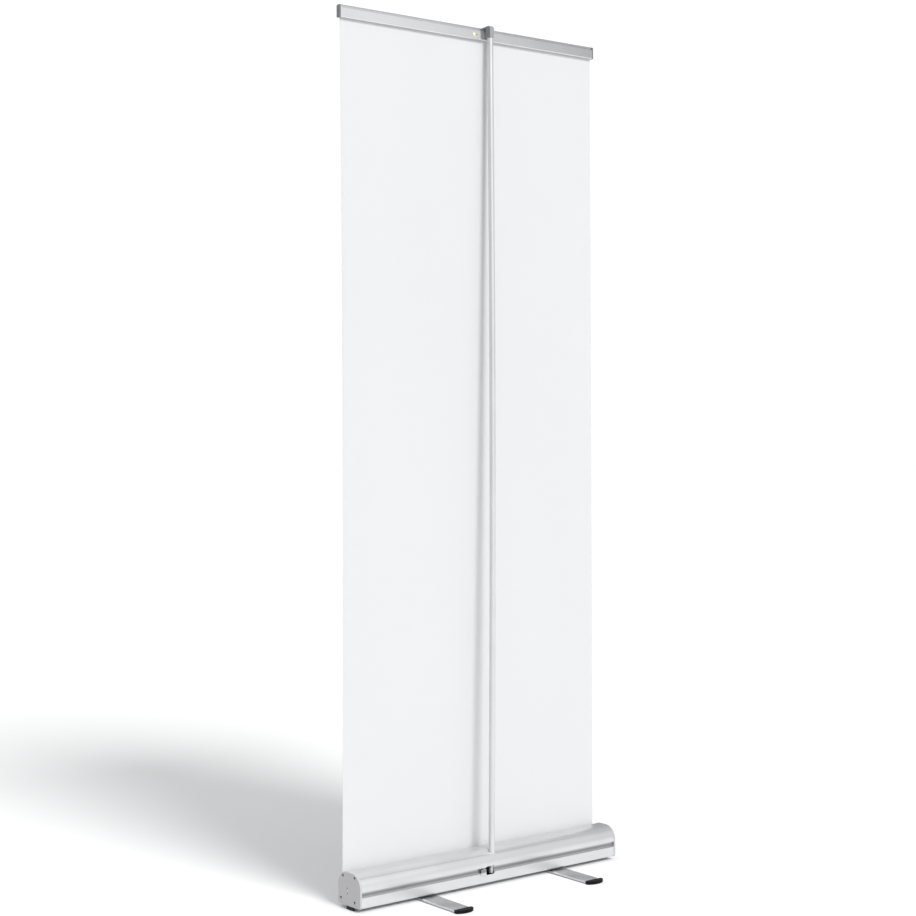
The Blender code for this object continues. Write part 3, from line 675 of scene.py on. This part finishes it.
def make_guide_plate():
    """The small riveted plate beside the rear window."""
    low, high = low_high("pole_guide_plate")
    rivet = middle_of("guide_rivet")
    outline = rounded_box(low, high, 1.4 * MM)
    work = soften(prism(outline, [low.y, high.y], "Y"), 0.35 * MM, 3)
    plate = link_mesh("guide_plate", work, HOUSING)
    ends = (rivet.x, low.y - MM, rivet.z), (rivet.x, high.y + MM, rivet.z)
    combine(plate, "DIFFERENCE", link_mesh("hole", cylinder(*ends, RIVET_BORE, 32)))
    fit(plate, "base", "housing_aluminium", "pole_guide_plate")


# ---------------------------------------------------------------- banner

def film_shape(u, v):
    """How far the film stands towards the pole, u from -1 to 1 across and v from 0 to 1 up."""
    bow = (BOW + BOW_SKEW * u) * sin(pi * v) ** 0.9
    edge = max(0.0, 1 - (1 - abs(u)) * film_high.x / CURL_REACH)
    curl = CURL * edge * edge * sin(pi * v)
    ripple = RIPPLE * sin(3.1 * u + 5.3 * v) * sin(pi * v)
    return bow + curl + ripple


def border(rows):
    """The outer vertices of a grid, in order round it."""
    return rows[0] + [row[-1] for row in rows[1:]] + rows[-1][-2::-1] + [row[0] for row in rows[-2:0:-1]]


def make_banner():
    """The film: two bowed grids, its front and back face, joined round their border."""
    work = bmesh.new()
    across, up = 96, 150
    height = film_high.z - film_low.z
    half = (film_high.y - film_low.y) / 2
    sheets = []
    for face in (-half, half):
        rows = []
        for j in range(up + 1):
            v = j / up
            row = []
            for i in range(across + 1):
                u = sin((2 * i / across - 1) * pi / 2)
                y = FILM_Y + face + film_shape(u, v)
                row.append(work.verts.new((u * film_high.x, y, film_low.z + height * v)))
            rows.append(row)
        sheets.append(rows)
    for rows in sheets:
        for j in range(up):
            for i in range(across):
                work.faces.new((rows[j][i], rows[j][i + 1], rows[j + 1][i + 1], rows[j + 1][i]))
    front, back = (border(rows) for rows in sheets)
    for index in range(len(front)):
        after = (index + 1) % len(front)
        work.faces.new((front[index], front[after], back[after], back[index]))
    sheet = link_mesh("banner_sheet", work, FILM, 40)
    fit(sheet, "base", "film", "banner")
    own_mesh(sheet)


# ---------------------------------------------------------------- top rail

def make_rail_back():
    """The rail's rear profile: a face with a recessed upper band, open to the front."""
    low, high = low_high("rail_back")
    rear, front, bottom, top = high.y, low.y, low.z, high.z
    step, recess, lip, grip = RAIL_STEP, RAIL_RECESS, RAIL_LIP, RAIL_GRIP
    hollow = rear - recess - RAIL_WALL
    crest = rear - 0.4 * MM
    underside = [(front, bottom + MM, 0), (front + 0.8 * MM, bottom, 0.5 * MM),
                 (rear - 1.2 * MM, bottom + 0.3 * MM, 0.6 * MM), (rear, bottom + 1.5 * MM, 0.8 * MM)]
    face = [(rear, step, 0.4 * MM), (rear - recess, step + 0.6 * MM, 0.5 * MM),
            (rear - recess, top - lip - 0.8 * MM, 0.5 * MM)]
    brow = [(crest, top - lip, 0.3 * MM), (crest, top, 0.3 * MM), (front, top, 0)]
    inside = [(front, top - grip, 0), (hollow, top - grip, 0.6 * MM), (hollow, bottom + grip, 0.6 * MM),
              (front, bottom + grip, 0)]
    outline = rounded(underside + face + brow + inside)
    rail = link_mesh("rail_rear_profile", prism(outline, stations(low.x, high.x, 40 * MM), "X"), RAIL, 25)
    fit(rail, "top_rail", "rail_aluminium", "rail_back")


def make_rail_jaw():
    """The rail's hinged front profile, open to the rear."""
    back_low, back_high = low_high("rail_back")
    low, high = low_high("rail_front_jaw")
    rear, front, bottom, top = high.y, low.y, low.z, high.z
    shoulder = top - JAW_SHOULDER_DROP
    hollow = front + RAIL_WALL
    roof, sill = shoulder - RAIL_GRIP, bottom + 2 * RAIL_GRIP
    jaw = [(rear, bottom), (rear - MM, bottom)]
    jaw += rounded([(rear - MM, bottom, 0), (front, bottom + 3 * MM, 1.2 * MM), (front, shoulder, 0)])[1:-1]
    jaw += arc((rear, shoulder), (rear - front, top - shoulder), 180, 90, 12)
    jaw += [(rear, roof), (hollow, roof), (hollow, sill), (rear, sill)]
    places = stations(back_low.x, back_high.x, 40 * MM)
    clamp = link_mesh("rail_front_profile", prism(jaw, places, "X"), RAIL, 25)
    fit(clamp, "rail_jaw", "rail_aluminium", "rail_front_jaw")


def make_rail_caps():
    for side, sign in SIDES.items():
        low, high = low_high("rail_cap_" + side)
        outline = rounded([(low.y, low.z, 2 * MM), (high.y, low.z, 1.6 * MM), (high.y, high.z, 1.2 * MM),
                           (low.y, high.z, 3 * MM)], 6)
        inner, outer = (low.x, high.x) if sign > 0 else (high.x, low.x)
        work = prism(outline, [inner, outer], "X")
        round_rim(work, outer, 0.8 * MM, 3)
        cap = link_mesh("rail_end_cap_" + side, work, DARK)
        centre = middle_of("rail_cap_" + side)
        ends = (outer - sign * 0.8 * MM, centre.y, centre.z), (outer + sign * MM, centre.y, centre.z)
        combine(cap, "DIFFERENCE", link_mesh("dish", cylinder(*ends, 2.2 * MM)))
        fit(cap, "top_rail", "grey_plastic", "rail_cap_" + side)


def make_button():
    """The brass button in the back of the rail: a flange with four dimples round a domed middle."""
    low, high = low_high("rail_button")
    centre = (low + high) / 2
    radius, height = (high.x - low.x) / 2, high.y - low.y
    flange = [(0, 0), (radius, 0), (radius, 0.34 * height), (radius - 0.3 * MM, 0.5 * height)]
    dome = [(0.56 * radius, 0.5 * height), (0.5 * radius, 0.62 * height), (0.42 * radius, 0.88 * height),
            (0.25 * radius, 0.98 * height), (0, height)]
    work = lathe(flange + dome, (centre.x, low.y, centre.z), (0, 1, 0))
    button = link_mesh("rail_brass_button", work, BRASS)
    floor = low.y + 0.12 * height
    circle = 0.76 * radius
    dimples = []
    for quarter in range(4):
        turn = radians(45 + 90 * quarter)
        x, z = centre.x + circle * cos(turn), centre.z + circle * sin(turn)
        dimple = cylinder((x, floor, z), (x, high.y + MM, z), 0.15 * radius, 24)
        dimples.append(link_mesh("dimple", dimple))
    combine(button, "DIFFERENCE", *dimples)
    fit(button, "top_rail", "brass", "rail_button")


# ---------------------------------------------------------------- pole

def pole_point(length):
    """A point on the pole's slightly bowed centreline."""
    return POLE_FOOT + POLE_UP * length + POLE_BOW * sin(pi * min(max(length / POLE_LENGTH, 0), 1))


def along_pole(node):
    """Where a node starts and ends along the pole."""
    item = frame["nodes"][node]
    places = [item.matrix_world @ vertex.co for vertex in item.data.vertices]
    reach = [(place - POLE_FOOT).dot(POLE_UP) for place in places]
    return min(reach), max(reach)


def pole_tube(name, start, end, outer, inner, material, body, slot, node, sides=48, chamfer=0.25 * MM):
    """A bowed tube: rings follow the pole's centreline, with small chamfers at both mouths."""
    turn = POLE_UP.to_track_quat("Z", "Y").to_matrix()
    inside = stations(start + chamfer, end - chamfer, 24 * MM)
    walls = [(start, outer - chamfer)] + [(s, outer) for s in inside] + [(end, outer - chamfer)]
    if inner:
        walls += [(end, inner)] + [(s, inner) for s in inside[::-1]] + [(start, inner)]
    work = bmesh.new()
    rings = []
    angles = [2 * pi * side / sides for side in range(sides)]
    for length, radius in walls:
        centre = pole_point(length)
        spokes = [turn @ Vector((radius * cos(angle), radius * sin(angle), 0)) for angle in angles]
        rings.append([work.verts.new(centre + spoke) for spoke in spokes])
    pairs = list(zip(rings, rings[1:])) + ([(rings[-1], rings[0])] if inner else [])
    for first, second in pairs:
        for side in range(sides):
            after = (side + 1) % sides
            work.faces.new((first[side], first[after], second[after], second[side]))
    if not inner:
        work.faces.new(rings[0])
        work.faces.new(rings[-1])
    item = link_mesh(name, work, material, 30)
    return fit(item, body, slot, node)


def make_pole():
    """The pole's three sections, the ferrules that join them and the cord inside."""
    inner = POLE_RADIUS - POLE_WALL
    for name in ("lower", "middle", "upper"):
        start, end = along_pole("pole_" + name)
        pole_tube("pole_tube_" + name, start, end, POLE_RADIUS, inner, POLE, f"pole_{name}_section",
                  "pole_aluminium", "pole_" + name)
    bodies = frame["record"]["behaviour"]["bodies"]
    owners = {node: body for body, nodes in bodies.items() for node in nodes}
    sleeve = inner - FERRULE_GAP
    for index in (1, 2):
        node = f"pole_ferrule_{index}"
        start, end = along_pole(node)
        pole_tube(f"ferrule_{index}", start, end, sleeve, sleeve - FERRULE_WALL, STEEL, owners[node],
                  "steel", node)
    node = "bungee_cord"
    start, end = along_pole(node)
    pole_tube("bungee", start, end, CORD_RADIUS, 0, ELASTIC, owners[node], "elastic", node, 16)


def make_hook():
    """The pole's head: a grey block plugged into the tube, a darker arm that grips the rail, and dark cheeks
    over the block's sides that are painted shade.
    """
    low, high = low_high("pole_hook")
    rail_high = low_high("rail_back")[1]
    half, middle = HEAD_HALF_WIDTH, POLE_HEAD.x
    rear, front = POLE_HEAD.y + POLE_RADIUS + 0.3 * MM, rail_high.y + 0.7 * MM
    bottom, top = POLE_HEAD.z + 0.6 * MM, high.z
    slope = 5 * MM

    plug = POLE_RADIUS - 1.3 * MM
    plug_start, plug_end = POLE_HEAD - POLE_UP * 37.7 * MM, POLE_HEAD + POLE_UP * 2.3 * MM
    head = link_mesh("pole_head", cylinder(plug_start, plug_end, plug, 40), GREY)
    outline = rounded([(front, bottom, 0.8 * MM), (rear, bottom, 0.8 * MM), (rear, top - slope, 3 * MM),
                       (rear - slope, top, 3 * MM), (front, top, 0.8 * MM)], 5)
    body = soften(prism(outline, [middle - half, middle + half], "X"), 0.9 * MM, 3, 50)
    combine(head, "UNION", link_mesh("body", body, GREY))
    fit(head, "pole_upper_section", "grey_plastic", "pole_hook")

    root, arm_half = front + 1.5 * MM, half - MM
    underside, tip = rail_high.z + 0.4 * MM, low.y
    lip = underside - 1.8 * MM
    arm = rounded([(root, underside, 0), (root, top - 0.7 * MM, 0), (tip, top - 0.9 * MM, 1.8 * MM),
                   (tip, lip, 0.6 * MM), (tip + 1.7 * MM, lip, 0.5 * MM),
                   (tip + 2.0 * MM, underside, 0.5 * MM)], 4)
    pieces = [soften(prism(arm, [middle - arm_half, middle + arm_half], "X"), 0.4 * MM, 2, 60)]
    # The cheeks are painted shade: dark plates over both sides of the grey block, so that its sides read
    # darker than its lit rear face.
    near, far = front + 0.6 * MM, rear - 1.2 * MM
    sill, crown = bottom + 0.8 * MM, top - 1.2 * MM
    cheek = rounded([(near, sill, 1.5 * MM), (far, sill, 1.5 * MM), (far, top - slope, 2 * MM),
                     (rear - slope, crown, 2 * MM), (near, crown, 1.5 * MM)], 4)
    for side in SIDES.values():
        inner, outer = middle + side * (half - 0.1 * MM), middle + side * (half + 0.5 * MM)
        pieces.append(prism(cheek, sorted((inner, outer)), "X"))
    fit(link_mesh("hook_arm", merged(*pieces), DARK), "pole_upper_section", "black_plastic")


# ---------------------------------------------------------------- feet

def make_feet():
    for side in SIDES:
        body = "foot_" + side
        low, high = low_high("foot_bar_" + side)
        x = middle_of("foot_bolt_" + side).x
        work = prism(rounded_box(low, high, 0.9 * MM, 5), stations(low.y, high.y, 30 * MM), "Y")
        bar = link_mesh("foot_profile_" + side, work, FOOT, 30)
        bore = link_mesh("bore", cylinder((x, 0, 0), (x, 0, 12 * MM), FOOT_BORE))
        combine(bar, "DIFFERENCE", bore)
        fit(bar, body, "foot_aluminium", "foot_bar_" + side)
        for end, facing in (("rear", 1), ("front", -1)):
            make_foot_cap(side, end, facing, x, (low, high), body)


def make_foot_cap(side, end, facing, x, bar, body):
    """A black cap with a curved end, pushed over the bar."""
    low, high = low_high(f"foot_cap_{end}_{side}")
    bar_low, bar_high = bar
    half = (high.x - low.x) / 2
    inner, tip = (low.y, high.y) if facing > 0 else (high.y, low.y)
    depth = abs(tip - inner) + CAP_EXTRA
    shoulder = CAP_SHOULDER * depth
    rise = depth - shoulder
    radius = (half * half + rise * rise) / (2 * rise)
    sweep = asin(half / radius)
    outline = [(x - half, inner), (x - half, inner + facing * shoulder)]
    steps = 24
    for step in range(1, steps):
        turn = -sweep + 2 * sweep * step / steps
        outline.append((x + radius * sin(turn), inner + facing * (depth - radius * (1 - cos(turn)))))
    outline += [(x + half, inner + facing * shoulder), (x + half, inner)]
    work = soften(prism(outline, [low.z, high.z], "Z"), 3.2 * MM, 6, 40)
    cap = link_mesh(f"foot_end_{end}_{side}", work, BLACK, 40)
    gap = 0.3 * MM
    mouth, pocket_end = inner - facing * MM, inner + facing * CAP_POCKET
    pocket_low = (bar_low.x - gap, min(mouth, pocket_end), bar_low.z - gap)
    pocket_high = (bar_high.x + gap, max(mouth, pocket_end), bar_high.z + gap)
    combine(cap, "DIFFERENCE", link_mesh("pocket", block(pocket_low, pocket_high)), angle=40)
    fit(cap, body, "black_plastic", f"foot_cap_{end}_{side}")


# ---------------------------------------------------------------- CAD nodes that stay

# A finish goes to every CAD node whose name starts with the key.
KEPT = {"roller_tube": HOUSING, "wound_film": FILM, "roller_plug": NYLON, "spring_axle": STEEL,
        "idler_axle": STEEL, "winding_spring": STEEL, "lock_pin": BLACK, "banner_leader": FILM,
        "slot_wiper": RUBBER, "pole_foot_plug": BLACK, "pole_socket": BLACK, "guide_rivet": STEEL,
        "foot_washer": NYLON, "foot_bolt": STEEL, "foot_nut": STEEL}


def dress_kept_nodes():
    for name, item in frame["nodes"].items():
        if item.hide_render:
            continue
        material = next(finish for start, finish in KEPT.items() if name.startswith(start))
        for slot in item.material_slots:
            slot.material = material
        if not item.material_slots:
            item.data.materials.append(material)


# ---------------------------------------------------------------- studio

FLOOR_GREY, FLOOR_SPREAD, FLOOR_REACH = 0.835, 0.002, 60.0
KEY_ELEVATION, KEY_TURN = radians(40), radians(1)
KEY_ENERGY, KEY_WIDTH = 2.55, radians(22)
DARK_ENDS = Vector((1.0, 0.15, 0.0)).normalized()
DARK_SKEW, DARK_START, DARK_FULL = 0.13, 0.58, 0.70
SKY_BRIGHT, SKY_DARK = 0.92, 0.32
BACKDROP = 1.05


def make_floor():
    work = bmesh.new()
    bmesh.ops.create_grid(work, x_segments=1, y_segments=1, size=FLOOR_REACH)
    nodes = Nodes("floor_paint", (FLOOR_GREY,) * 3, 0.9, specular=0.1)
    cloud = nodes.spread(nodes.noise(nodes.place(), 1.5, 2.0), 0.0, 1.0)
    darker, lighter = (FLOOR_GREY - FLOOR_SPREAD,) * 3, (FLOOR_GREY + FLOOR_SPREAD,) * 3
    nodes.set("Base Color", nodes.colours(cloud, darker, lighter))
    link_mesh("floor", work, nodes.material)


def make_key():
    data = bpy.data.lights.new("key", "SUN")
    data.energy = KEY_ENERGY
    data.angle = KEY_WIDTH
    key = bpy.data.objects.new("key", data)
    bpy.context.scene.collection.objects.link(key)
    level_part = cos(KEY_ELEVATION)
    towards = Vector((sin(KEY_TURN) * level_part, cos(KEY_TURN) * level_part, sin(KEY_ELEVATION)))
    key.rotation_mode = "QUATERNION"
    key.rotation_quaternion = towards.to_track_quat("Z", "Y")
    key.location = towards * 6


def make_world():
    """Soft surroundings, darker towards both ends of the base, and plain white where the camera sees them."""
    world = bpy.data.worlds.new("studio")
    bpy.context.scene.world = world
    world.use_nodes = True
    tree = world.node_tree
    tree.nodes.clear()

    direction = tree.nodes.new("ShaderNodeTexCoord")
    facing = tree.nodes.new("ShaderNodeVectorMath")
    facing.operation = "DOT_PRODUCT"
    facing.inputs[1].default_value = DARK_ENDS
    skewed = tree.nodes.new("ShaderNodeMath")
    skewed.operation = "SUBTRACT"
    skewed.inputs[1].default_value = DARK_SKEW
    sideways = tree.nodes.new("ShaderNodeMath")
    sideways.operation = "ABSOLUTE"
    ramp = tree.nodes.new("ShaderNodeMapRange")
    ramp.interpolation_type = "SMOOTHSTEP"
    limits = {"From Min": DARK_START, "From Max": DARK_FULL, "To Min": SKY_BRIGHT, "To Max": SKY_DARK}
    for name, number in limits.items():
        ramp.inputs[name].default_value = number
    light = tree.nodes.new("ShaderNodeBackground")
    light.inputs["Color"].default_value = (0.985, 0.99, 1.0, 1)
    white = tree.nodes.new("ShaderNodeBackground")
    white.inputs["Color"].default_value = (1, 1, 1, 1)
    white.inputs["Strength"].default_value = BACKDROP
    path = tree.nodes.new("ShaderNodeLightPath")
    mix = tree.nodes.new("ShaderNodeMixShader")
    output = tree.nodes.new("ShaderNodeOutputWorld")

    tree.links.new(direction.outputs["Generated"], facing.inputs[0])
    tree.links.new(facing.outputs["Value"], skewed.inputs[0])
    tree.links.new(skewed.outputs["Value"], sideways.inputs[0])
    tree.links.new(sideways.outputs["Value"], ramp.inputs["Value"])
    tree.links.new(ramp.outputs["Result"], light.inputs["Strength"])
    tree.links.new(path.outputs["Is Camera Ray"], mix.inputs["Fac"])
    tree.links.new(light.outputs["Background"], mix.inputs[1])
    tree.links.new(white.outputs["Background"], mix.inputs[2])
    tree.links.new(mix.outputs["Shader"], output.inputs["Surface"])


make_camera()
make_housing()
make_end_plates()
make_pads()
make_guide_plate()
make_banner()
make_rail_back()
make_rail_jaw()
make_rail_caps()
make_button()
make_pole()
make_hook()
make_feet()
dress_kept_nodes()
make_floor()
make_key()
make_world()
bpy.context.scene.view_settings.view_transform = "Standard"
